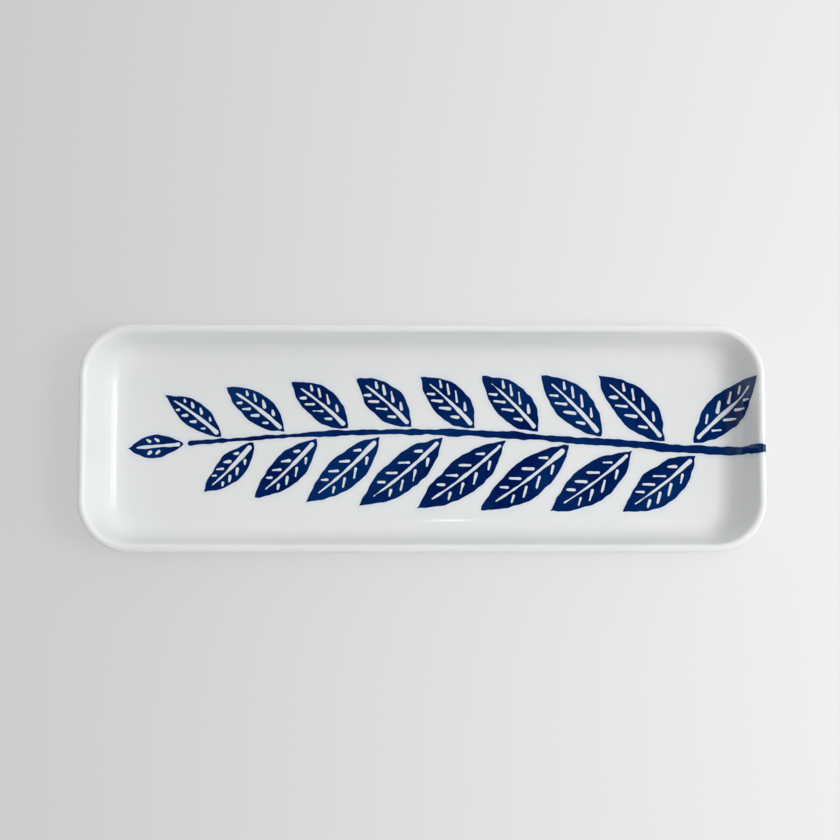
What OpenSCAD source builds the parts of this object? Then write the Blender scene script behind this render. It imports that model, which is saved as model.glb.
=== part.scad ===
// Long rectangular platter: a fired porcelain body, a printed sprig on it and a clear glaze over both.
// X runs along the platter, Y across it and Z up. The origin is on the ground, under the middle.

/* [Overall size] */
// Length over the glazed lip
platter_l = 300; // [260:1:360]
// Width over the glazed lip
platter_w = 100; // [90:1:130]
// Height from the foot to the top of the lip
platter_h = 23; // [20:0.5:28]
// Corner radius at the outside of the lip
corner_r = 23; // [22:0.5:28]

/* [Body] */
// Thickness of the fired body, floor and wall alike
wall_t = 3; // [2.6:0.1:3.6]
// Lean of the wall: how far it leans out over a rise of 24
lean_run = 7; // [5:0.5:8]
// Inside radius where the floor turns up into the wall
fillet_r = 11.4; // [10:0.1:12]

/* [Foot] */
// Height of the foot ring under the floor
foot_h = 2; // [1.6:0.1:3]
// Width of the foot ring
foot_w = 2.4; // [2:0.1:3]
// Distance from the start of the fillet in to the foot ring
foot_setback = 0.5; // [0.5:0.1:2]
// Bevel on the two edges that the foot stands on
foot_bevel = 0.4; // [0.2:0.05:0.6]
// Height of the strip at the bottom of the foot that is wiped clean of glaze
bare_h = 0.9; // [0.7:0.1:1.2]

/* [Glaze] */
// Thickness of the clear glaze
glaze_t = 0.3; // [0.2:0.02:0.4]

/* [Print] */
// Thickness of the printed pigment
print_t = 0.08; // [0.04:0.01:0.12]
// Clearance between the pigment and the glaze round and over it
print_clear = 0.03; // [0.02:0.01:0.05]
// Leaves on each side of the stem
leaf_count = 8; // [6:1:10]
// Angle between the stem and its leaves
leaf_spread = 41; // [36:1:46]
// Width of the stem where it comes in over the lip
stem_w = 4; // [3:0.1:5]
// Width of the stem at its tip
stem_tip_w = 1.8; // [1.2:0.1:2.4]
// White gap between the stem and the foot of a leaf
leaf_gap = 1.4; // [0.8:0.1:2]
// White gap between neighbouring leaves
leaf_space = 2; // [1.6:0.1:4]
// Width of the white midrib at the foot of a leaf
rib_w = 2; // [1.4:0.1:2.4]
// Width of a white side vein
vein_w = 1.3; // [1:0.1:1.6]
// Blue left between the midrib and a side vein
vein_gap = 0.7; // [0.5:0.1:1]

/* [Hidden] */
$fn = 96;
// How far a cutting shape runs past what it cuts
overrun = 0.1;

// The straight stretches between the corner centres
core_l = platter_l - 2 * corner_r;
core_w = platter_w - 2 * corner_r;

// The section through the wall: its x is the distance out from the corner centre, its y is the height
floor_top = foot_h + wall_t;
mid_r = fillet_r + wall_t / 2;
lean_rise = 24;
wall_lean = atan2(lean_run, lean_rise);
wall_along = [lean_run, lean_rise] / norm([lean_run, lean_rise]);
wall_inward = [-wall_along.y, wall_along.x];
lip_centre = [corner_r, platter_h] - (glaze_t + wall_t / 2) * [1, 1];
fillet_z = floor_top + fillet_r;
wall_run = (lip_centre.y + mid_r * wall_inward.y - fillet_z) / wall_along.y;
wall_foot = lip_centre - wall_run * wall_along;
fillet_centre = wall_foot + mid_r * wall_inward;
foot_out = fillet_centre.x - foot_setback;
foot_in = foot_out - foot_w;

// The flat floor that the print lies on, from the middle to where the fillet starts
floor_half_l = core_l / 2 + fillet_centre.x;
floor_half_w = core_w / 2 + fillet_centre.x;

// The stem, from the lip at the right end to its tip near the left end
stem_start = platter_l / 2 + overrun;
stem_tip_share = 0.79;
stem_sway_share = 0.15;
stem_turn = 245;
stem_phase = -62;
stem_steps = 28;

// Where the leaves stand along the stem, and how they shrink towards the tip
leaf_first_share = 0.145;
leaf_last_share = 0.935;
leaf_stagger_share = 0.5;
leaf_reach_share = 0.93;
leaf_taper_share = 0.38;
tip_leaf_share = 0.9;
end_leaf_share = 0.118;
end_leaf_turn = 136;
end_leaf_l_share = 1.3;

// The white lines left inside a leaf, along its length and out from its midrib
rib_start_share = 0.06;
rib_end_share = 0.84;
vein_shares = [0.17, 0.33, 0.48, 0.62];
vein_turn = 38;
vein_lead_share = 0.1;
vein_reach_share = 0.66;
leaf_cuts = 16;

leaf_step_share = (leaf_last_share - leaf_first_share) / (leaf_count - 1);
stem_run = stem_start + stem_tip_share * floor_half_l;
leaf_pitch = leaf_step_share * stem_run;
leaf_w = leaf_pitch * sin(leaf_spread) - leaf_space;

// A point on the stem's middle line, and its heading there; q runs from 0 at the lip to 1 at the tip
function stem_y(q) = stem_sway_share * floor_half_w * sin(stem_turn * q + stem_phase);
function stem_at(q) = [stem_start - q * stem_run, stem_y(q)];
function stem_heading(q) =
    let (d = stem_at(q + 1 / stem_steps) - stem_at(q - 1 / stem_steps)) atan2(d.y, d.x);
function stem_half_w(q) = (stem_w + q * (stem_tip_w - stem_w)) / 2;
function beside(q, side, grow) =
    let (a = stem_heading(q) + 90) stem_at(q) + side * (stem_half_w(q) + grow) * [cos(a), sin(a)];

// How long a leaf may grow before it reaches the fillet, less what it loses towards the tip
function leaf_taper(q) = 1 - leaf_taper_share * pow(q, 3);
function leaf_turn(q, side) = stem_heading(q) - side * leaf_spread;
function leaf_l(q, side) =
    leaf_reach_share * (floor_half_w - side * stem_y(q)) / abs(sin(leaf_turn(q, side))) * leaf_taper(q)
    - stem_half_w(q) - leaf_gap;

// The radius of a leaf's edge, and a point a share of the way along it, with the leaf grown all round
function leaf_arc_r(length, width) = (length * length + width * width) / (4 * width);
function leaf_edge(length, width, share, side, grow) =
    let (
        arc_r = leaf_arc_r(length, width),
        centre_y = arc_r - width / 2,
        half_l = sqrt(pow(arc_r + grow, 2) - pow(centre_y, 2)),
        x = (2 * share - 1) * half_l
    )
    [length / 2 + x, side * (sqrt(pow(arc_r + grow, 2) - x * x) - centre_y)];

// A band of a ring about a centre, from one angle to another less than half a turn on
module arc_band(centre, r_in, r_out, from, to) {
    far = 2 * r_out;
    middle = (from + to) / 2;
    translate(centre)
        intersection() {
            difference() {
                circle(r_out);
                if (r_in > 0) circle(r_in);
            }
            polygon([[0, 0], for (a = [from, middle, to]) far * [cos(a), sin(a)]]);
        }
}

// A straight band along the wall, between two distances inward from its middle line
module wall_band(inner, outer) {
    polygon([
        lip_centre + inner * wall_inward,
        lip_centre + outer * wall_inward,
        wall_foot + outer * wall_inward,
        wall_foot + inner * wall_inward,
    ]);
}

// A rounded cap on the lip, in two halves that meet along the wall's own direction
module lip_band(r_in, r_out, last = -wall_lean) {
    arc_band(lip_centre, r_in, r_out, 90 - wall_lean, 180 - wall_lean);
    arc_band(lip_centre, r_in, r_out, last, 90 - wall_lean);
}

module band_box(low, high) {
    polygon([low, [high.x, low.y], high, [low.x, high.y]]);
}

// The body's section, from the corner centre out to the lip
module body_section() {
    band_box([0, foot_h], [fillet_centre.x, floor_top]);
    arc_band(fillet_centre, fillet_r, fillet_r + wall_t, -90, -wall_lean);
    wall_band(-wall_t / 2, wall_t / 2);
    lip_band(0, wall_t / 2);
    polygon([
        [foot_out, foot_h + wall_t / 2],
        [foot_out, foot_bevel],
        [foot_out - foot_bevel, 0],
        [foot_in + foot_bevel, 0],
        [foot_in, foot_bevel],
        [foot_in, foot_h + wall_t / 2],
    ]);
}

// A thin layer on the inside: up from the floor, round the fillet, up the wall and over the lip
module inside_layer(below, above, floor_from, lip_to) {
    band_box([floor_from, floor_top - below], [fillet_centre.x, floor_top + above]);
    arc_band(fillet_centre, fillet_r - above, fillet_r + below, -90, -wall_lean);
    wall_band(wall_t / 2 - below, wall_t / 2 + above);
    lip_band(wall_t / 2 - below, wall_t / 2 + above, lip_to);
}

// The glaze's section: the inside layer, then down the outside to the strip wiped bare on the foot
module glaze_section() {
    inside_layer(0, glaze_t, 0, -wall_lean);
    wall_band(-wall_t / 2 - glaze_t, -wall_t / 2);
    arc_band(fillet_centre, fillet_r + wall_t, fillet_r + wall_t + glaze_t, -90, -wall_lean);
    polygon([
        [foot_out, bare_h],
        [foot_out + glaze_t, bare_h],
        [foot_out + glaze_t, foot_h - glaze_t],
        [fillet_centre.x, foot_h - glaze_t],
        [fillet_centre.x, foot_h],
        [foot_out, foot_h],
    ]);
}

module base_glaze_section() {
    polygon([
        [0, foot_h],
        [0, foot_h - glaze_t],
        [foot_in - glaze_t, foot_h - glaze_t],
        [foot_in - glaze_t, bare_h],
        [foot_in, bare_h],
        [foot_in, foot_h],
    ]);
}

// Carries a section round the four sides and corners, and fills the middle between two heights
module around(low, high) {
    for (turn = [0, 180])
        rotate(turn) {
            side(core_l, core_w) children();
            corner(core_l, core_w) children();
            rotate(90) {
                side(core_w, core_l) children();
                corner(core_w, core_l) children();
            }
        }
    translate([-core_l / 2, -core_w / 2, low]) cube([core_l, core_w, high - low]);
}

module side(along, across) {
    translate([along / 2, across / 2, 0]) rotate([90, 0, 0]) linear_extrude(across) children();
}

module corner(along, across) {
    translate([along / 2, across / 2, 0]) rotate_extrude(angle = 90) children();
}

// The outline of a pointed leaf along +X, from two arcs
module leaf_outline(length, width, grow) {
    arc_r = leaf_arc_r(length, width);
    intersection_for (side = [-1, 1])
        translate([length / 2, side * (arc_r - width / 2)]) circle(arc_r + grow);
}

// The same outline in short straight cuts, for the leaf that is bent up over the wall
module cut_leaf_outline(length, width, grow) {
    polygon([
        for (i = [0 : leaf_cuts - 1]) leaf_edge(length, width, i / leaf_cuts, 1, grow),
        for (i = [leaf_cuts : -1 : 1]) leaf_edge(length, width, i / leaf_cuts, -1, grow),
    ]);
}

// The white midrib and side veins of a leaf, narrower where the leaf is grown
module leaf_lines(length, width, grow) {
    rib_half_w = rib_w / 2 - grow;
    rib_tip_half_w = vein_w / 4 - grow;
    polygon([
        [rib_start_share * length + grow, -rib_half_w],
        [rib_end_share * length - grow, -rib_tip_half_w],
        [rib_end_share * length - grow, rib_tip_half_w],
        [rib_start_share * length + grow, rib_half_w],
    ]);
    vein_start = (rib_w / 2 + vein_gap) / sin(vein_turn);
    for (share = vein_shares, side = [-1, 1]) {
        reach = vein_reach_share * leaf_edge(length, width, share + vein_lead_share, 1, 0).y;
        vein_end = reach / sin(vein_turn);
        translate([share * length, 0])
            rotate(side * vein_turn)
                band_box([vein_start + grow, grow - vein_w / 2], [vein_end - grow, vein_w / 2 - grow]);
    }
}

module leaf(length, width, grow, cut) {
    difference() {
        if (cut) cut_leaf_outline(length, width, grow); else leaf_outline(length, width, grow);
        leaf_lines(length, width, grow);
    }
}

module leaf_on_stem(q, turn, length, grow, cut = false) {
    translate(stem_at(q))
        rotate(turn)
            translate([stem_half_w(q) + leaf_gap, 0])
                leaf(length, leaf_w * leaf_taper(q), grow, cut);
}

module leaf_row(side, stagger, grow) {
    for (i = [0 : leaf_count - 1]) {
        q = leaf_first_share + (i + stagger) * leaf_step_share;
        leaf_on_stem(q, leaf_turn(q, side), leaf_l(q, side), grow);
    }
}

module stem_shape(grow = 0) {
    step = (1 + grow / stem_run) / stem_steps;
    polygon([
        for (i = [0 : stem_steps]) beside(i * step, 1, grow),
        for (i = [stem_steps : -1 : 0]) beside(i * step, -1, grow),
    ]);
}

module upper_leaves_shape(grow = 0) { leaf_row(1, 0, grow); }

module lower_leaves_shape(grow = 0) { leaf_row(-1, -leaf_stagger_share, grow); }

module tip_leaf_shape(grow = 0) {
    leaf_on_stem(1, stem_heading(1), tip_leaf_share * (1 - stem_tip_share) * floor_half_l, grow);
}

module end_leaf_shape(grow = 0) {
    q = end_leaf_share;
    leaf_on_stem(q, stem_heading(q) - end_leaf_turn, end_leaf_l_share * floor_half_w, grow, true);
}

// Pigment on the flat floor
module floor_print(below, above) {
    translate([0, 0, floor_top - below]) linear_extrude(above + below) children();
}

// Pigment that runs up the right end wall and over the lip, to its outermost line or a little past it
module end_print(below, above, past = 0) {
    intersection() {
        linear_extrude(platter_h) children();
        side(core_l, core_w) inside_layer(below, above, -core_l, -asin(past / (wall_t / 2)));
    }
}

module porcelain_body() { color("whitesmoke") around(foot_h, floor_top) body_section(); }

module outer_glaze() {
    room = print_t + print_clear;
    color("aliceblue", 0.3)
        difference() {
            around(floor_top, floor_top + glaze_t) glaze_section();
            floor_print(overrun, room) {
                upper_leaves_shape(print_clear);
                lower_leaves_shape(print_clear);
                tip_leaf_shape(print_clear);
            }
            end_print(overrun, room, print_clear) stem_shape(print_clear);
            end_print(overrun, room, print_clear) end_leaf_shape(print_clear);
        }
}

module base_glaze() { color("aliceblue", 0.3) around(foot_h - glaze_t, foot_h) base_glaze_section(); }

module print_stem() { color("midnightblue") end_print(0, print_t) stem_shape(); }

module print_upper_leaves() { color("midnightblue") floor_print(0, print_t) upper_leaves_shape(); }

module print_lower_leaves() { color("midnightblue") floor_print(0, print_t) lower_leaves_shape(); }

module print_tip_leaf() { color("midnightblue") floor_print(0, print_t) tip_leaf_shape(); }

module print_end_leaf() { color("midnightblue") end_print(0, print_t) end_leaf_shape(); }

porcelain_body();
outer_glaze();
base_glaze();
print_stem();
print_upper_leaves();
print_lower_leaves();
print_tip_leaf();
print_end_leaf();
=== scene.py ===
"""Looks of the long porcelain platter: its glazed skin, bare foot and cobalt sprig, in soft studio light.

Everything is in metres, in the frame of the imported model: X along the platter, Y across it, Z up.
"""

from math import atan2, cos, degrees, exp, pi, radians, sin, sqrt

import bpy
from mathutils import Matrix, Vector, kdtree, noise
from mathutils.geometry import delaunay_2d_cdt


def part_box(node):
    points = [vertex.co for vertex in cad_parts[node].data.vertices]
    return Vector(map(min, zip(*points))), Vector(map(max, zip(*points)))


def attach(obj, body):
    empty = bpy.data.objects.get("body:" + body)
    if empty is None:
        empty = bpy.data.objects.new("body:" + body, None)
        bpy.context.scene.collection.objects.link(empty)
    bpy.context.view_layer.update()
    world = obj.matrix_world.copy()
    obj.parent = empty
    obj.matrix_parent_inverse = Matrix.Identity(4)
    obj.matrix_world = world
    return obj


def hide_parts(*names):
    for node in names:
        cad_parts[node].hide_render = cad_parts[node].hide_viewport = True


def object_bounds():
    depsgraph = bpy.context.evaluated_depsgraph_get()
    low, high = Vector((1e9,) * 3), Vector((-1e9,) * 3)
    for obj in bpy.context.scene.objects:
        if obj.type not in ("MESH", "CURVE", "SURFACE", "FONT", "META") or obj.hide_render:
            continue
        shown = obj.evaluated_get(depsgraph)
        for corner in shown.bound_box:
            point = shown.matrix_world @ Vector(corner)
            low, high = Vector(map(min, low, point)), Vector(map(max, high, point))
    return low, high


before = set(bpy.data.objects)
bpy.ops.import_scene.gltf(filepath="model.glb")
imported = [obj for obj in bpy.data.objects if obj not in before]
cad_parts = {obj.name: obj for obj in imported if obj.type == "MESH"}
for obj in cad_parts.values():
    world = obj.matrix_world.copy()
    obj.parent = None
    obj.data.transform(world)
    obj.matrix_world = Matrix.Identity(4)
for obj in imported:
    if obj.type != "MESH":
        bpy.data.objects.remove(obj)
cad_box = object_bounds()

# Sizes read from the frame
PLATTER_HIGH = cad_box[1]
BODY_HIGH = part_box("porcelain_body")[1]
BASE_LOW, BASE_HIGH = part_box("base_glaze")
FLOOR_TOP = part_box("print_tip_leaf")[0].z
GLAZE_T = PLATTER_HIGH.x - BODY_HIGH.x
BARE_H = BASE_LOW.z
FOOT_H = BASE_HIGH.z
WALL_T = FLOOR_TOP - FOOT_H

# Sizes of the wall's section, as in the part's source
CORNER_R = 0.023
FILLET_R = 0.0114
LEAN_RUN, LEAN_RISE = 7, 24
FOOT_W = 0.0024

# Glaze that pools in the corner of the foot, and the air kept between a skin and the body
POOL_R = 0.00045
SKIN_GAP = 0.00002

# The straight stretches between the corner centres
CORE_HALF_L = PLATTER_HIGH.x - CORNER_R
CORE_HALF_W = PLATTER_HIGH.y - CORNER_R

# The wall's section: x is the distance out from a corner centre, y is the height
ALONG = Vector((LEAN_RUN, LEAN_RISE)).normalized()
WALL_LEAN = degrees(atan2(LEAN_RUN, LEAN_RISE))
INWARD = Vector((-ALONG.y, ALONG.x))
MID_R = FILLET_R + WALL_T / 2
LIP_R = WALL_T / 2
LIP_C = Vector((CORNER_R, PLATTER_HIGH.z)) - (GLAZE_T + LIP_R) * Vector((1, 1))
WALL_RUN = (LIP_C.y + MID_R * INWARD.y - FLOOR_TOP - FILLET_R) / ALONG.y
FILLET_C = LIP_C - WALL_RUN * ALONG + MID_R * INWARD
FOOT_IN = BASE_HIGH.x - CORE_HALF_L
FOOT_OUT = FOOT_IN + FOOT_W

# The flat floor, from the middle to where the fillet starts, and the glaze's run on from there over the lip
FLOOR_HALF_L = CORE_HALF_L + FILLET_C.x
FLOOR_HALF_W = CORE_HALF_W + FILLET_C.x
FLOOR_Z = FLOOR_TOP + GLAZE_T
FILLET_RUN = (FILLET_R - GLAZE_T) * radians(90 - WALL_LEAN)
LIP_RUN = (LIP_R + GLAZE_T) * pi
EDGE_RUN = FILLET_RUN + WALL_RUN + (LIP_R + GLAZE_T) * radians(180 - WALL_LEAN)
PRINT_END = FLOOR_HALF_L + EDGE_RUN

# How finely the skins are drawn
SKIN_STEP = 0.0012
BASE_STEP = 0.006
ARC_STEPS = 14
CORNER_STEPS = 24
WALL_STEPS = 7

# The sprig, as in the part's source: its stem, its leaves and the white lines in them
STEM_START = PLATTER_HIGH.x
STEM_TIP_SHARE = 0.79
STEM_RUN = STEM_START + STEM_TIP_SHARE * FLOOR_HALF_L
STEM_SWAY_SHARE = 0.15
STEM_TURN = radians(245)
STEM_PHASE = radians(-62)
STEM_W = 0.004
STEM_TIP_W = 0.0018
STEM_STEPS = 60
LEAF_COUNT = 8
LEAF_SPREAD = radians(41)
LEAF_SPACE = 0.002
LEAF_FIRST_SHARE = 0.145
LEAF_LAST_SHARE = 0.935
LEAF_STAGGER_SHARE = 0.5
LEAF_REACH_SHARE = 0.93
LEAF_TAPER_SHARE = 0.38
LEAF_STEP_SHARE = (LEAF_LAST_SHARE - LEAF_FIRST_SHARE) / (LEAF_COUNT - 1)
LEAF_W = LEAF_STEP_SHARE * STEM_RUN * sin(LEAF_SPREAD) - LEAF_SPACE
LEAF_STEPS = 40
TIP_LEAF_SHARE = 0.9
TIP_LEAF_L = TIP_LEAF_SHARE * (1 - STEM_TIP_SHARE) * FLOOR_HALF_L
END_LEAF_SHARE = 0.118
END_LEAF_TURN = radians(136)
END_LEAF_L_SHARE = 1.3
RIB_W = 0.002
RIB_SHARES = (0.06, 0.84)
VEIN_W = 0.0013
VEIN_GAP = 0.0007
VEIN_SHARES = (0.17, 0.33, 0.48, 0.62)
VEIN_TURN = radians(38)
VEIN_LEAD_SHARE = 0.1
VEIN_REACH_SHARE = 0.66

# How a leaf is drawn: the white at its foot, where it is widest, its bow and how its lines thin out
LEAF_FOOT_GAP = 0.0009
LEAF_SKEW = 0.94
LEAF_BOW_SHARE = 0.03
RIB_TIP_SHARE = 0.3
VEIN_TIP_SHARE = 0.6

# How the print lies on the glaze, and how unsteadily its edge was cut
PRINT_LIFT = 0.00002
PRINT_SINK = 0.00006
CUT_STEP = 0.0006
CUT_CALM_STEPS = 3
CUT_WAVES = ((0.010, 0.00080), (0.0038, 0.00050))
LINE_UNSTEADY_SHARE = 0.5
BLEED_R = 0.0013

# How a flat plan is cut into triangles, and where shading breaks at an edge
WHOLE_HULL = 0
SAME_POINT = 1e-9
SHARP_TURN = radians(40)


def arc_of(centre, radius, growth, first, last):
    """An arc of the section: its radius on the body, how a lift changes that, its first and last angle."""
    return Vector(centre), radius, growth, radians(first), radians(last)


FILLET_ARC = arc_of(FILLET_C, FILLET_R, -1, -90, -WALL_LEAN)
LIP_ARC = arc_of(LIP_C, LIP_R, 1, 180 - WALL_LEAN, -WALL_LEAN)
UNDER_ARC = arc_of(FILLET_C, FILLET_R + WALL_T, 1, -WALL_LEAN, -90)
FOOT_ARC = arc_of((FOOT_OUT + POOL_R, FOOT_H - POOL_R), POOL_R, -1, 90, 180)
BASE_ARC = arc_of((FOOT_IN - POOL_R, FOOT_H - POOL_R), POOL_R, -1, 90, 0)
OUTER_ARCS = (FILLET_ARC, LIP_ARC, UNDER_ARC, FOOT_ARC)


def arc_at(arc, share, lift):
    """A point a share of the way along an arc, lifted off the body."""
    centre, radius, growth, first, last = arc
    angle = first + share * (last - first)
    return centre + (radius + growth * lift) * Vector((cos(angle), sin(angle)))


def section(arcs, lift):
    """Points along arcs that straight stretches join, then straight down to the bare line on the foot."""
    points = []
    for arc in arcs:
        bend = [arc_at(arc, i / ARC_STEPS, lift) for i in range(ARC_STEPS + 1)]
        if points:
            points += [points[-1].lerp(bend[0], i / WALL_STEPS) for i in range(1, WALL_STEPS)]
        points += bend
    return points + [Vector((points[-1].x, BARE_H))]


def runs_along(points):
    """How far along a line each of its points is."""
    runs = [0]
    for a, b in zip(points, points[1:]):
        runs.append(runs[-1] + (b - a).length)
    return runs


def rim_path():
    """Where the section stands on its way round: base points and outward directions, counter-clockwise."""
    path = []
    corners = [Vector((x * CORE_HALF_L, y * CORE_HALF_W)) for x, y in ((1, 1), (-1, 1), (-1, -1), (1, -1))]
    for k, corner in enumerate(corners):
        angles = [(k + i / CORNER_STEPS) * pi / 2 for i in range(CORNER_STEPS + 1)]
        path += [(corner, Vector((cos(a), sin(a)))) for a in angles]
        following = corners[(k + 1) % len(corners)]
        steps = round((following - corner).length / SKIN_STEP)
        out = path[-1][1]
        path += [(corner.lerp(following, i / steps), out) for i in range(1, steps)]
    return path


def fill(points, edges, keep):
    """Triangles among points, along all the edges, where the triangle's middle is kept."""
    spots, _, faces, sources, *_ = delaunay_2d_cdt(points, edges, [], WHOLE_HULL, SAME_POINT)
    middles = [sum((spots[i] for i in f), Vector((0, 0))) / len(f) for f in faces]
    return spots, [f for f, m in zip(faces, middles) if keep(m)], sources


def loop_edges(count, first=0):
    return [(first + i, first + (i + 1) % count) for i in range(count)]


def add_piece(name, points, faces, material, slot, *nodes):
    """A smooth mesh that stands for CAD nodes and rides with the platter."""
    mesh = bpy.data.meshes.new(name)
    mesh.from_pydata(points, [], faces)
    mesh.validate()
    mesh.shade_smooth()
    mesh.set_sharp_from_angle(angle=SHARP_TURN)
    mesh.materials.append(material)
    piece = bpy.data.objects.new(name, mesh)
    bpy.context.scene.collection.objects.link(piece)
    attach(piece, "root")
    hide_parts(*nodes)
    return piece


def grid_inside(half_l, half_w, step):
    """Points of a grid in a rectangle, clear of its border."""
    nx, ny = round(half_l / step), round(half_w / step)
    across = range(-nx + 1, nx)
    return [Vector((half_l * i / nx, half_w * j / ny)) for i in across for j in range(-ny + 1, ny)]


def add_skin(name, arcs, step, material, node):
    """A thin closed coat of glaze: the section carried round the rim and a flat middle, on both faces."""
    path = rim_path()
    rows = len(section(arcs, GLAZE_T))
    flat_u = arcs[0][0].x
    rim = [base + flat_u * out for base, out in path]
    corner_clear = flat_u * (1 - sqrt(0.5)) + step / 2
    grid = grid_inside(CORE_HALF_L + flat_u - corner_clear, CORE_HALF_W + flat_u - corner_clear, step)
    spots, flat_faces, sources = fill(rim + grid, loop_edges(len(rim)), lambda middle: True)

    points, faces = [], []
    for lift in (GLAZE_T, SKIN_GAP):
        first = len(points)
        line = section(arcs, lift)
        points += [(*(base + at.x * out), at.y) for base, out in path for at in line]
        number = {}
        for i, (spot, source) in enumerate(zip(spots, sources)):
            number[i] = first + source[0] * rows if source[0] < len(rim) else len(points)
            if source[0] >= len(rim):
                points.append((*spot, line[0].y))
        coat = [[number[i] for i in f] for f in flat_faces]
        for j in range(len(path)):
            a, b = first + j * rows, first + (j + 1) % len(path) * rows
            coat += [[a + k, a + k + 1, b + k + 1, b + k] for k in range(rows - 1)]
        faces += coat if lift == GLAZE_T else [f[::-1] for f in coat]
    inner = len(points) // 2
    ends = [j * rows + rows - 1 for j in range(len(path))]
    faces += [[a, inner + a, inner + b, b] for a, b in zip(ends, ends[1:] + ends[:1])]
    return add_piece(name, points, faces, material, "glaze", node)


def stem_at(q):
    """A point on the stem's middle line; q runs from 0 at the lip to 1 at the tip."""
    sway = STEM_SWAY_SHARE * FLOOR_HALF_W * sin(STEM_TURN * q + STEM_PHASE)
    return Vector((STEM_START - q * STEM_RUN, sway))


def stem_heading(q):
    ahead = stem_at(q + 1 / STEM_STEPS) - stem_at(q - 1 / STEM_STEPS)
    return atan2(ahead.y, ahead.x)


def stem_half_w(q):
    return (STEM_W + q * (STEM_TIP_W - STEM_W)) / 2


def even(line, step):
    """The same line with points at an even step."""
    runs = runs_along(line)
    count = round(runs[-1] / step)
    spaced, k = [], 0
    for i in range(count + 1):
        run = i / count * runs[-1]
        while runs[k + 1] < run:
            k += 1
        spaced.append(line[k].lerp(line[k + 1], (run - runs[k]) / (runs[k + 1] - runs[k])))
    return spaced


def hand_cut(sides, unsteady=1):
    """The loop of these sides as a hand cuts it: each strays a little between its ends."""
    loop = []
    for side in sides:
        side = even(side, CUT_STEP)
        last = len(side) - 1
        loop.append(side[0])
        for i in range(1, last):
            aside = (side[i + 1] - side[i - 1]).orthogonal().normalized()
            stray = sum(depth * noise.noise((side[i] / length).to_3d()) for length, depth in CUT_WAVES)
            calm = min(1, i / CUT_CALM_STEPS, (last - i) / CUT_CALM_STEPS)
            loop.append(side[i] + unsteady * calm * stray * aside)
    return loop


def stroke(points, start_w, end_w):
    """Both sides of a round-ended stroke along points, which changes width on its way."""
    last = len(points) - 1
    half_ws = [(start_w + (end_w - start_w) * i / last) / 2 for i in range(last + 1)]

    def edge(i, turn):
        way = (points[min(i + 1, last)] - points[max(i - 1, 0)]).normalized()
        return points[i] + half_ws[i] * (cos(turn) * way + sin(turn) * way.orthogonal())

    quarter = [pi / 2 * i / ARC_STEPS for i in range(ARC_STEPS + 1)]
    sides = []
    for hand in (-1, 1):
        side = [edge(0, hand * (pi - turn)) for turn in quarter]
        side += [edge(i, hand * pi / 2) for i in range(1, last)]
        side += [edge(last, hand * (pi / 2 - turn)) for turn in quarter]
        sides.append(side)
    return sides[0], sides[1][::-1]


def hump(t):
    """Rises from 0 to 1 half-way along, and falls back to 0."""
    return 4 * t * (1 - t)


def leaf_half_w(t, width):
    """Half a leaf's width, a share of the way along it: widest a little nearer its foot."""
    return width / 2 * hump(t**LEAF_SKEW)


def leaf(base, turn, length, width, bow):
    """The outline of one pointed leaf and the white lines in it, bowed a little to one side."""

    def at(t, aside):
        return base + Matrix.Rotation(turn, 2) @ Vector((t * length, aside + bow * hump(t)))

    shares = [i / LEAF_STEPS for i in range(LEAF_STEPS + 1)]
    left, right = ([at(t, side * leaf_half_w(t, width)) for t in shares] for side in (1, -1))
    rib_from = RIB_SHARES[0] + RIB_W / 2 / length
    rib_l_share = RIB_SHARES[1] - rib_from
    bends = [rib_from + rib_l_share * i / LEAF_STEPS for i in range(LEAF_STEPS + 1)]
    lines = [stroke([at(t, 0) for t in bends], RIB_W, RIB_TIP_SHARE * RIB_W)]
    near = RIB_W / 2 + VEIN_GAP + VEIN_W / 2
    slope = cos(VEIN_TURN) / sin(VEIN_TURN) / length
    for t in VEIN_SHARES:
        far = VEIN_REACH_SHARE * leaf_half_w(t + VEIN_LEAD_SHARE, width)
        if far > near + VEIN_W / 2:
            for side in (-1, 1):
                ends = [at(t + reach * slope, side * reach) for reach in (near, far)]
                lines.append(stroke(ends, VEIN_W, VEIN_TIP_SHARE * VEIN_W))
    return hand_cut((right, left[::-1])), [hand_cut(line, LINE_UNSTEADY_SHARE) for line in lines]


def leaf_taper(q):
    return 1 - LEAF_TAPER_SHARE * q**3


def leaf_foot(q):
    """How far a leaf starts from the stem's middle, along the leaf."""
    return (stem_half_w(q) + LEAF_FOOT_GAP) / sin(LEAF_SPREAD)


def leaf_on_stem(q, turn, length, bow):
    foot = Matrix.Rotation(turn, 2) @ Vector((leaf_foot(q), 0))
    return leaf(stem_at(q) + foot, turn, length, LEAF_W * leaf_taper(q), bow)


def leaf_row(side, stagger):
    leaves = []
    for i in range(LEAF_COUNT):
        q = LEAF_FIRST_SHARE + (i + stagger) * LEAF_STEP_SHARE
        turn = stem_heading(q) - side * LEAF_SPREAD
        room = FLOOR_HALF_W - side * stem_at(q).y
        length = LEAF_REACH_SHARE * room / abs(sin(turn)) * leaf_taper(q) - leaf_foot(q)
        leaves.append(leaf_on_stem(q, turn, length, -side * LEAF_BOW_SHARE * length))
    return leaves


def stem():
    """The stem's outline, from past the lip to its tip."""
    start = (STEM_START - PRINT_END) / STEM_RUN - 1 / STEM_STEPS
    middle = [stem_at(start + (1 - start) * i / STEM_STEPS) for i in range(STEM_STEPS + 1)]
    return [(hand_cut(stroke(middle, 2 * stem_half_w(start), STEM_TIP_W)), [])]


def tip_leaf():
    return [leaf_on_stem(1, stem_heading(1), TIP_LEAF_L, 0)]


def end_leaf():
    q = END_LEAF_SHARE
    length = END_LEAF_L_SHARE * FLOOR_HALF_W
    return [leaf_on_stem(q, stem_heading(q) - END_LEAF_TURN, length, LEAF_BOW_SHARE * length)]


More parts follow.
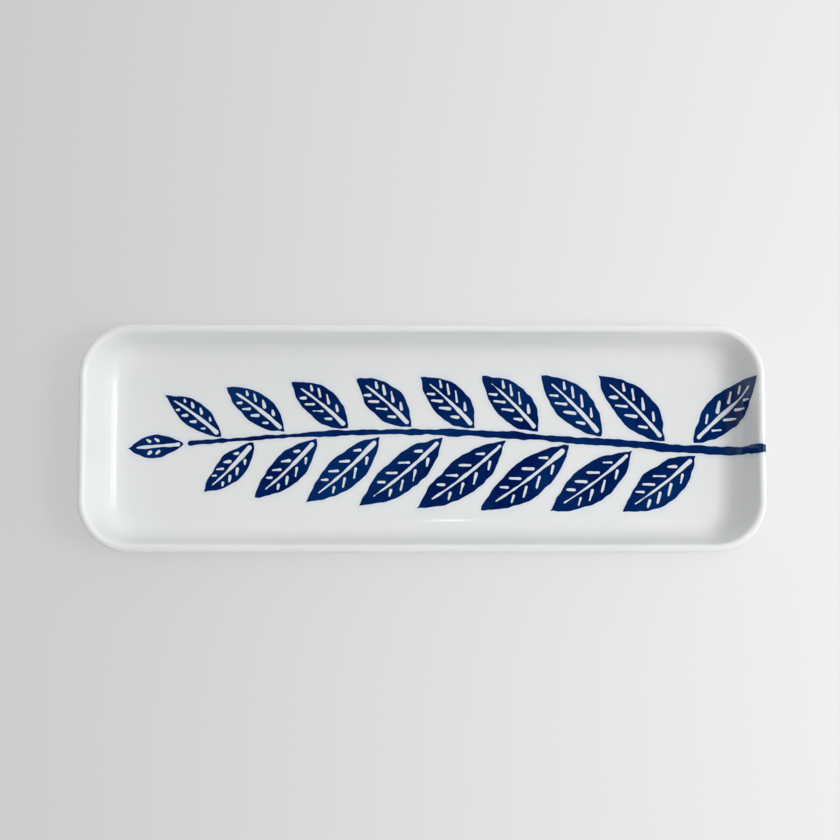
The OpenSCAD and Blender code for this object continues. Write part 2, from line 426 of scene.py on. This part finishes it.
def inside(point, loops):
    """Whether a point is inside an odd number of loops."""
    odd = False
    for loop in loops:
        for a, b in zip(loop, loop[1:] + loop[:1]):
            if (a.y > point.y) != (b.y > point.y):
                if point.x < a.x + (point.y - a.y) / (b.y - a.y) * (b.x - a.x):
                    odd = not odd
    return odd


def on_glaze(spot, lift):
    """A point of the print's flat plan, laid on the floor or up the right end wall and over the lip."""
    run = spot.x - FLOOR_HALF_L
    if run <= 0:
        return spot.x, spot.y, FLOOR_Z + lift
    lift += GLAZE_T
    if run < FILLET_RUN:
        at = arc_at(FILLET_ARC, run / FILLET_RUN, lift)
    elif run < FILLET_RUN + WALL_RUN:
        at = arc_at(FILLET_ARC, 1, lift) + (run - FILLET_RUN) * ALONG
    else:
        at = arc_at(LIP_ARC, (run - FILLET_RUN - WALL_RUN) / LIP_RUN, lift)
    return CORE_HALF_L + at.x, spot.y, at.y


def fold_lines():
    """Where the print folds up the end wall, along X in its flat plan, at the same places as the skin."""
    bends = [FILLET_RUN * i / ARC_STEPS for i in range(ARC_STEPS + 1)]
    bends += [FILLET_RUN + WALL_RUN + LIP_RUN * i / ARC_STEPS for i in range(ARC_STEPS)]
    return [FLOOR_HALF_L + b for b in bends if b < EDGE_RUN] + [PRINT_END]


def flat_print(outline, lines):
    """Points and triangles of one printed area's flat plan, cut along the folds on the end wall."""
    loops = [outline, *lines]
    points, edges = [], []
    for loop in loops:
        edges += loop_edges(len(loop), len(points))
        points += loop
    if max(p.x for p in outline) > FLOOR_HALF_L:
        low, high = min(p.y for p in outline) - CUT_STEP, max(p.y for p in outline) + CUT_STEP
        for x in fold_lines():
            edges.append((len(points), len(points) + 1))
            points += [Vector((x, low)), Vector((x, high))]
    spots, sheet, _ = fill(points, edges, lambda middle: middle.x < PRINT_END and inside(middle, loops))
    return spots, sheet


def add_print(name, shapes, material, node):
    """Printed areas as thin closed sheets that lie on the glaze."""
    points, faces = [], []
    for outline, lines in shapes:
        spots, sheet = flat_print(outline, lines)
        used = sorted({i for f in sheet for i in f})
        number = {spot: i for i, spot in enumerate(used)}
        top = len(points)
        under = top + len(used)
        for lift in (PRINT_LIFT, -PRINT_SINK):
            points += [on_glaze(spots[i], lift) for i in used]
        sheet = [[number[i] for i in f] for f in sheet]
        sides = {(a, b) for f in sheet for a, b in zip(f, f[1:] + f[:1])}
        faces += [[top + i for i in f] for f in sheet]
        faces += [[under + i for i in f[::-1]] for f in sheet]
        faces += [[top + b, top + a, under + a, under + b] for a, b in sides if (b, a) not in sides]
    return add_piece(name, points, faces, material, "cobalt_print", node)


def mark_bleed(skin, shapes):
    """Notes on each point of the skin how near the print is, for the blue that bleeds into the glaze."""
    dots = [p for outline, lines in shapes for loop in (outline, *lines) for p in loop if p.x < PRINT_END]
    tree = kdtree.KDTree(len(dots))
    for i, dot in enumerate(dots):
        tree.insert(dot.to_3d(), i)
    tree.balance()

    def bleed_at(spot):
        near = tree.find(spot.to_3d())[2]
        return exp(-((near / BLEED_R) ** 2))

    line = section(OUTER_ARCS, GLAZE_T)
    plan = [line[0].x + run for run in runs_along(line)]
    bleed = [bleed_at(base + u * out) for base, out in rim_path() for u in plan]
    bleed += [bleed_at(vertex.co.xy) for vertex in skin.data.vertices[len(bleed):]]
    skin.data.attributes.new("bleed", "FLOAT", "POINT").data.foreach_set("value", bleed)


# Colours, as linear values
GLAZE_WHITE = (0.797, 0.805, 0.803, 1)
GLAZE_COOL = (0.775, 0.79, 0.792, 1)
BLEED_BLUE = (0.54, 0.65, 0.78, 1)
COBALT = (0.0012, 0.0250, 0.123, 1)
COBALT_DEEP = (0.0003, 0.0075, 0.074, 1)
BISCUIT = (0.70, 0.66, 0.60, 1)
BISCUIT_WORN = (0.52, 0.48, 0.43, 1)
PAPER = (0.69, 0.69, 0.69, 1)
PAPER_SHADED = (0.67965, 0.67965, 0.67965, 1)
# Painted light in the paper's glow: dimmer away from the window and brighter towards it
PAPER_PAINTED_DIM = (0.59, 0.59, 0.585, 1)
PAPER_PAINTED_BRIGHT = (0.98, 0.98, 0.985, 1)
WHITE = (1, 1, 1, 1)

# Noise in the materials: the size of its patches, its detail and its roughness
WAVES = 0.034, 1, 0.5
PEEL = 0.0028, 1, 0.5
POLISH = 0.05, 2, 0.5
POOLED = 0.06, 3, 0.5
BASE_POOLED = 0.05, 3, 0.5
WASHED = 0.030, 5, 0.6
WORN = 0.004, 6, 0.65
GRAIN = 0.0007, 4, 0.5
PAPER_SHADE = 0.25, 2, 0.5

# The range of a noise over which one colour or polish gives way to the other
POLISH_RANGE = 0.3, 0.7
POOLED_RANGE = 0.35, 0.65
WASHED_RANGE = 0.36, 0.66
WORN_RANGE = 0.45, 0.72
PAPER_SHADE_RANGE = 0.3, 0.7

# Depth of the bumps, gloss, and how much blue bleeds into the glaze
WAVE_DEPTH = 0.00016
PEEL_DEPTH = 0.000003
GRAIN_DEPTH = 0.00003
GLAZE_ROUGHNESS = 0.045, 0.085
GLAZE_IOR = 1.52
COBALT_SPECULAR = 0.3
BISCUIT_ROUGHNESS = 0.78
BISCUIT_IOR = 1.45
PAPER_ROUGHNESS = 0.9
PAPER_SPECULAR = 0.1
BLEED_SHARE = 0.42

# How much of the paper's look is a painted glow, which also paints light into the platter's shadow, and how
# far from the middle this painted light goes on getting lighter towards the window
PAPER_GLOW_SHARE = 0.6
PAPER_REACH = 0.3


def map_range(tree, value, start, end=(0, 1), kind="LINEAR"):
    """A value taken from one range to another, and kept within it."""
    node = tree.nodes.new("ShaderNodeMapRange")
    node.interpolation_type = kind
    for name, number in zip(("From Min", "From Max", "To Min", "To Max"), (*start, *end)):
        node.inputs[name].default_value = number
    tree.links.new(value, node.inputs["Value"])
    return node.outputs["Result"]


def combine(tree, operation, first, second):
    """Two values joined by one step of arithmetic."""
    node = tree.nodes.new("ShaderNodeMath")
    node.operation = operation
    tree.links.new(first, node.inputs[0])
    tree.links.new(second, node.inputs[1])
    return node.outputs["Value"]


class Shader:
    """A material's node tree, with short ways to add the nodes used here."""

    def __init__(self, name):
        self.material = bpy.data.materials.new(name)
        self.material.use_nodes = True
        self.tree = self.material.node_tree
        self.nodes = self.tree.nodes
        self.link = self.tree.links.new
        self.bsdf = self.nodes["Principled BSDF"]
        self.place = self.nodes.new("ShaderNodeTexCoord").outputs["Object"]

    def set(self, **values):
        """Sets the shader's own sockets, with _ for a space in a name."""
        for name, value in values.items():
            self.bsdf.inputs[name.replace("_", " ")].default_value = value

    def noise(self, size, detail, rough):
        """Noise whose patches are about that size, from 0 to 1."""
        node = self.nodes.new("ShaderNodeTexNoise")
        node.inputs["Scale"].default_value = 1 / size
        node.inputs["Detail"].default_value = detail
        node.inputs["Roughness"].default_value = rough
        self.link(self.place, node.inputs["Vector"])
        return node.outputs["Fac"]

    def spread(self, value, start, end=(0, 1), kind="LINEAR"):
        return map_range(self.tree, value, start, end, kind)

    def mix(self, factor, first, second):
        """One colour or the other, each fixed or from another node."""
        node = self.nodes.new("ShaderNodeMix")
        node.data_type = "RGBA"
        self.link(factor, node.inputs["Factor"])
        for name, colour in (("A", first), ("B", second)):
            socket = next(s for s in node.inputs if s.name == name and s.type == "RGBA")
            if isinstance(colour, tuple):
                socket.default_value = colour
            else:
                self.link(colour, socket)
        return next(s for s in node.outputs if s.type == "RGBA")

    def bump(self, height, depth, under=None):
        node = self.nodes.new("ShaderNodeBump")
        node.inputs["Distance"].default_value = depth
        self.link(height, node.inputs["Height"])
        if under:
            self.link(under, node.inputs["Normal"])
        return node.outputs["Normal"]

    def attribute(self, name):
        node = self.nodes.new("ShaderNodeAttribute")
        node.attribute_name = name
        return node.outputs["Fac"]

    def use(self, **sockets):
        """Links nodes to the shader's own sockets."""
        for name, value in sockets.items():
            self.link(value, self.bsdf.inputs[name.replace("_", " ")])


def add_gloss(shader):
    """The glaze's shine, the same on white and on blue: slow waves, a faint orange peel and uneven polish."""
    waves = shader.bump(shader.noise(*WAVES), WAVE_DEPTH)
    peel = shader.bump(shader.noise(*PEEL), PEEL_DEPTH, waves)
    shader.use(Normal=peel, Roughness=shader.spread(shader.noise(*POLISH), POLISH_RANGE, GLAZE_ROUGHNESS))
    shader.set(IOR=GLAZE_IOR)


def pooled_white(shader, pooled):
    """The white of the glaze, a little cooler where it pooled."""
    return shader.mix(shader.spread(shader.noise(*pooled), POOLED_RANGE), GLAZE_WHITE, GLAZE_COOL)


def glaze_material():
    shader = Shader("glaze")
    bleed = shader.spread(shader.attribute("bleed"), (0, 1), (0, BLEED_SHARE))
    shader.use(Base_Color=shader.mix(bleed, pooled_white(shader, POOLED), BLEED_BLUE))
    add_gloss(shader)
    return shader.material


def base_glaze_material():
    shader = Shader("base_glaze")
    shader.use(Base_Color=pooled_white(shader, BASE_POOLED))
    add_gloss(shader)
    return shader.material


def cobalt_material():
    shader = Shader("cobalt")
    washed = shader.spread(shader.noise(*WASHED), WASHED_RANGE)
    shader.use(Base_Color=shader.mix(washed, COBALT, COBALT_DEEP))
    add_gloss(shader)
    shader.set(Specular_IOR_Level=COBALT_SPECULAR)
    return shader.material


def biscuit_material():
    shader = Shader("biscuit")
    worn = shader.spread(shader.noise(*WORN), WORN_RANGE)
    grain = shader.bump(shader.noise(*GRAIN), GRAIN_DEPTH)
    shader.use(Base_Color=shader.mix(worn, BISCUIT, BISCUIT_WORN), Normal=grain)
    shader.set(Roughness=BISCUIT_ROUGHNESS, IOR=BISCUIT_IOR)
    return shader.material


def paper_material():
    """Pale paper with a painted glow, painted lighter towards the window as its light falls off, which also
    paints light into its shadow so that the shadow is seen softened.
    """
    shader = Shader("paper")
    shade = shader.spread(shader.noise(*PAPER_SHADE), PAPER_SHADE_RANGE)
    shader.use(Base_Color=shader.mix(shade, PAPER, PAPER_SHADED))
    shader.set(Roughness=PAPER_ROUGHNESS, Specular_IOR_Level=PAPER_SPECULAR)

    # Painted light falloff: the glow is painted lighter along X, towards the window
    across = shader.nodes.new("ShaderNodeSeparateXYZ")
    shader.link(shader.place, across.inputs["Vector"])
    painted_falloff = shader.spread(across.outputs["X"], (-PAPER_REACH, PAPER_REACH), kind="SMOOTHSTEP")
    glow = shader.nodes.new("ShaderNodeEmission")
    shader.link(shader.mix(painted_falloff, PAPER_PAINTED_DIM, PAPER_PAINTED_BRIGHT), glow.inputs["Color"])

    rays = shader.nodes.new("ShaderNodeLightPath").outputs
    seen = combine(shader.tree, "MAXIMUM", rays["Is Camera Ray"], rays["Is Glossy Ray"])
    seen = combine(shader.tree, "MAXIMUM", seen, rays["Is Transmission Ray"])
    blend = shader.nodes.new("ShaderNodeMixShader")
    shader.link(shader.spread(seen, (0, 1), (0, PAPER_GLOW_SHARE)), blend.inputs["Fac"])
    shader.link(shader.bsdf.outputs["BSDF"], blend.inputs[1])
    shader.link(glow.outputs["Emission"], blend.inputs[2])
    shader.link(blend.outputs["Shader"], shader.nodes["Material Output"].inputs["Surface"])
    return shader.material


# Skins and print
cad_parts["porcelain_body"].data.materials.clear()
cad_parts["porcelain_body"].data.materials.append(biscuit_material())
outer_skin = add_skin("glaze_skin", OUTER_ARCS, SKIN_STEP, glaze_material(), "outer_glaze")
add_skin("base_skin", (BASE_ARC,), BASE_STEP, base_glaze_material(), "base_glaze")

prints = {
    "print_stem": stem(),
    "print_upper_leaves": leaf_row(1, 0),
    "print_lower_leaves": leaf_row(-1, -LEAF_STAGGER_SHARE),
    "print_tip_leaf": tip_leaf(),
    "print_end_leaf": end_leaf(),
}
cobalt = cobalt_material()
for node, shapes in prints.items():
    add_print(node.replace("print", "blue"), shapes, cobalt, node)
mark_bleed(outer_skin, [shape for shapes in prints.values() for shape in shapes])


# The floor, the lamps that light the platter and those only mirrored in it, by place, size and power
FLOOR_SIZE = 8.0
LIGHTS = {
    "overhead": ((0, 0, 1.5), (1.0, 1.0), 6.9),
    "key": ((0.45, -0.10, 0.56), (0.20, 0.20), 1.74),
}
GLINTS = {
    "high_pane": ((0.57, 0.15, 0.85), (0.16, 0.20), 0.62),
    "low_pane": ((0.79, 0.15, 0.68), (0.24, 0.20), 0.50),
    "ceiling": ((0.13, 1.45, 3.80), (0.20, 0.20), 2.6),
}

# The sky's strength from its dim to its bright side, and what the horizon adds; heights run from 0 to 1, and
# overhead, where the flat glaze mirrors it, it is dark
SKY_SIDE = (0.94, 0.34, 0)
SKY_STRENGTH = 0.12, 1.00
HORIZON_STRENGTH = 0.35
HORIZON_END = 0.2, 0.4
SKY_END = 0.84, 0.915


def add_floor():
    bpy.ops.mesh.primitive_plane_add(size=FLOOR_SIZE)
    floor = bpy.context.object
    floor.name = "floor"
    floor.data.materials.append(paper_material())


def add_lamp(name, place, size, power, glossy):
    """A soft box that faces the platter, which either lights it or is mirrored in it."""
    light = bpy.data.lights.new(name, "AREA")
    light.shape = "RECTANGLE"
    light.size, light.size_y = size
    light.energy = power
    lamp = bpy.data.objects.new(name, light)
    lamp.location = place
    lamp.rotation_euler = (-lamp.location).to_track_quat("-Z", "Y").to_euler()
    lamp.visible_glossy = glossy
    lamp.visible_diffuse = not glossy
    bpy.context.scene.collection.objects.link(lamp)


def add_sky():
    """Light from all round, brightest on one side, with a dark patch overhead."""
    world = bpy.data.worlds.new("sky")
    world.use_nodes = True
    tree = world.node_tree
    way = tree.nodes.new("ShaderNodeTexCoord").outputs["Generated"]
    split = tree.nodes.new("ShaderNodeSeparateXYZ")
    tree.links.new(way, split.inputs["Vector"])
    height = split.outputs["Z"]
    toward = tree.nodes.new("ShaderNodeVectorMath")
    toward.operation = "DOT_PRODUCT"
    toward.inputs[1].default_value = SKY_SIDE
    tree.links.new(way, toward.inputs[0])

    sky = map_range(tree, toward.outputs["Value"], (-1, 1), SKY_STRENGTH)
    horizon = map_range(tree, height, HORIZON_END, (HORIZON_STRENGTH, 0), "SMOOTHSTEP")
    opening = map_range(tree, height, SKY_END, (1, 0), "SMOOTHSTEP")
    strength = combine(tree, "MULTIPLY", combine(tree, "ADD", sky, horizon), opening)
    background = tree.nodes["Background"]
    tree.links.new(strength, background.inputs["Strength"])
    background.inputs["Color"].default_value = WHITE
    bpy.context.scene.world = world


add_floor()
for name, lamp in LIGHTS.items():
    add_lamp(name, *lamp, glossy=False)
for name, lamp in GLINTS.items():
    add_lamp(name, *lamp, glossy=True)
add_sky()

# The camera, from the photograph: how many pixels its frame and focal length are, and where the platter lies
FRAME_PX = 840
FOCAL_PX = 948
CENTRE_PX = (422, 437.4)
CAMERA_OVER_RIM = 0.410
CAMERA_BACK = 0.058
CAMERA_TILT = radians(2.5)
CAMERA_NEAREST = 0.01


def add_camera():
    """A camera over the platter, shifted so that the platter lies where it is in the photograph."""
    camera = bpy.data.objects.new("camera", bpy.data.cameras.new("camera"))
    camera.location = (0, -CAMERA_BACK, PLATTER_HIGH.z + CAMERA_OVER_RIM)
    camera.rotation_euler = (CAMERA_TILT, 0, 0)
    camera.data.lens = camera.data.sensor_width * FOCAL_PX / FRAME_PX
    aim = CAMERA_BACK * Vector((cos(CAMERA_TILT), sin(CAMERA_TILT)))
    aim += CAMERA_OVER_RIM * Vector((-sin(CAMERA_TILT), cos(CAMERA_TILT)))
    centre_up = FOCAL_PX * aim.x / aim.y
    camera.data.shift_x = (FRAME_PX / 2 - CENTRE_PX[0]) / FRAME_PX
    camera.data.shift_y = (centre_up + CENTRE_PX[1] - FRAME_PX / 2) / FRAME_PX
    camera.data.clip_start = CAMERA_NEAREST
    bpy.context.scene.collection.objects.link(camera)
    bpy.context.scene.camera = camera


add_camera()
bpy.context.scene.view_settings.view_transform = "Standard"
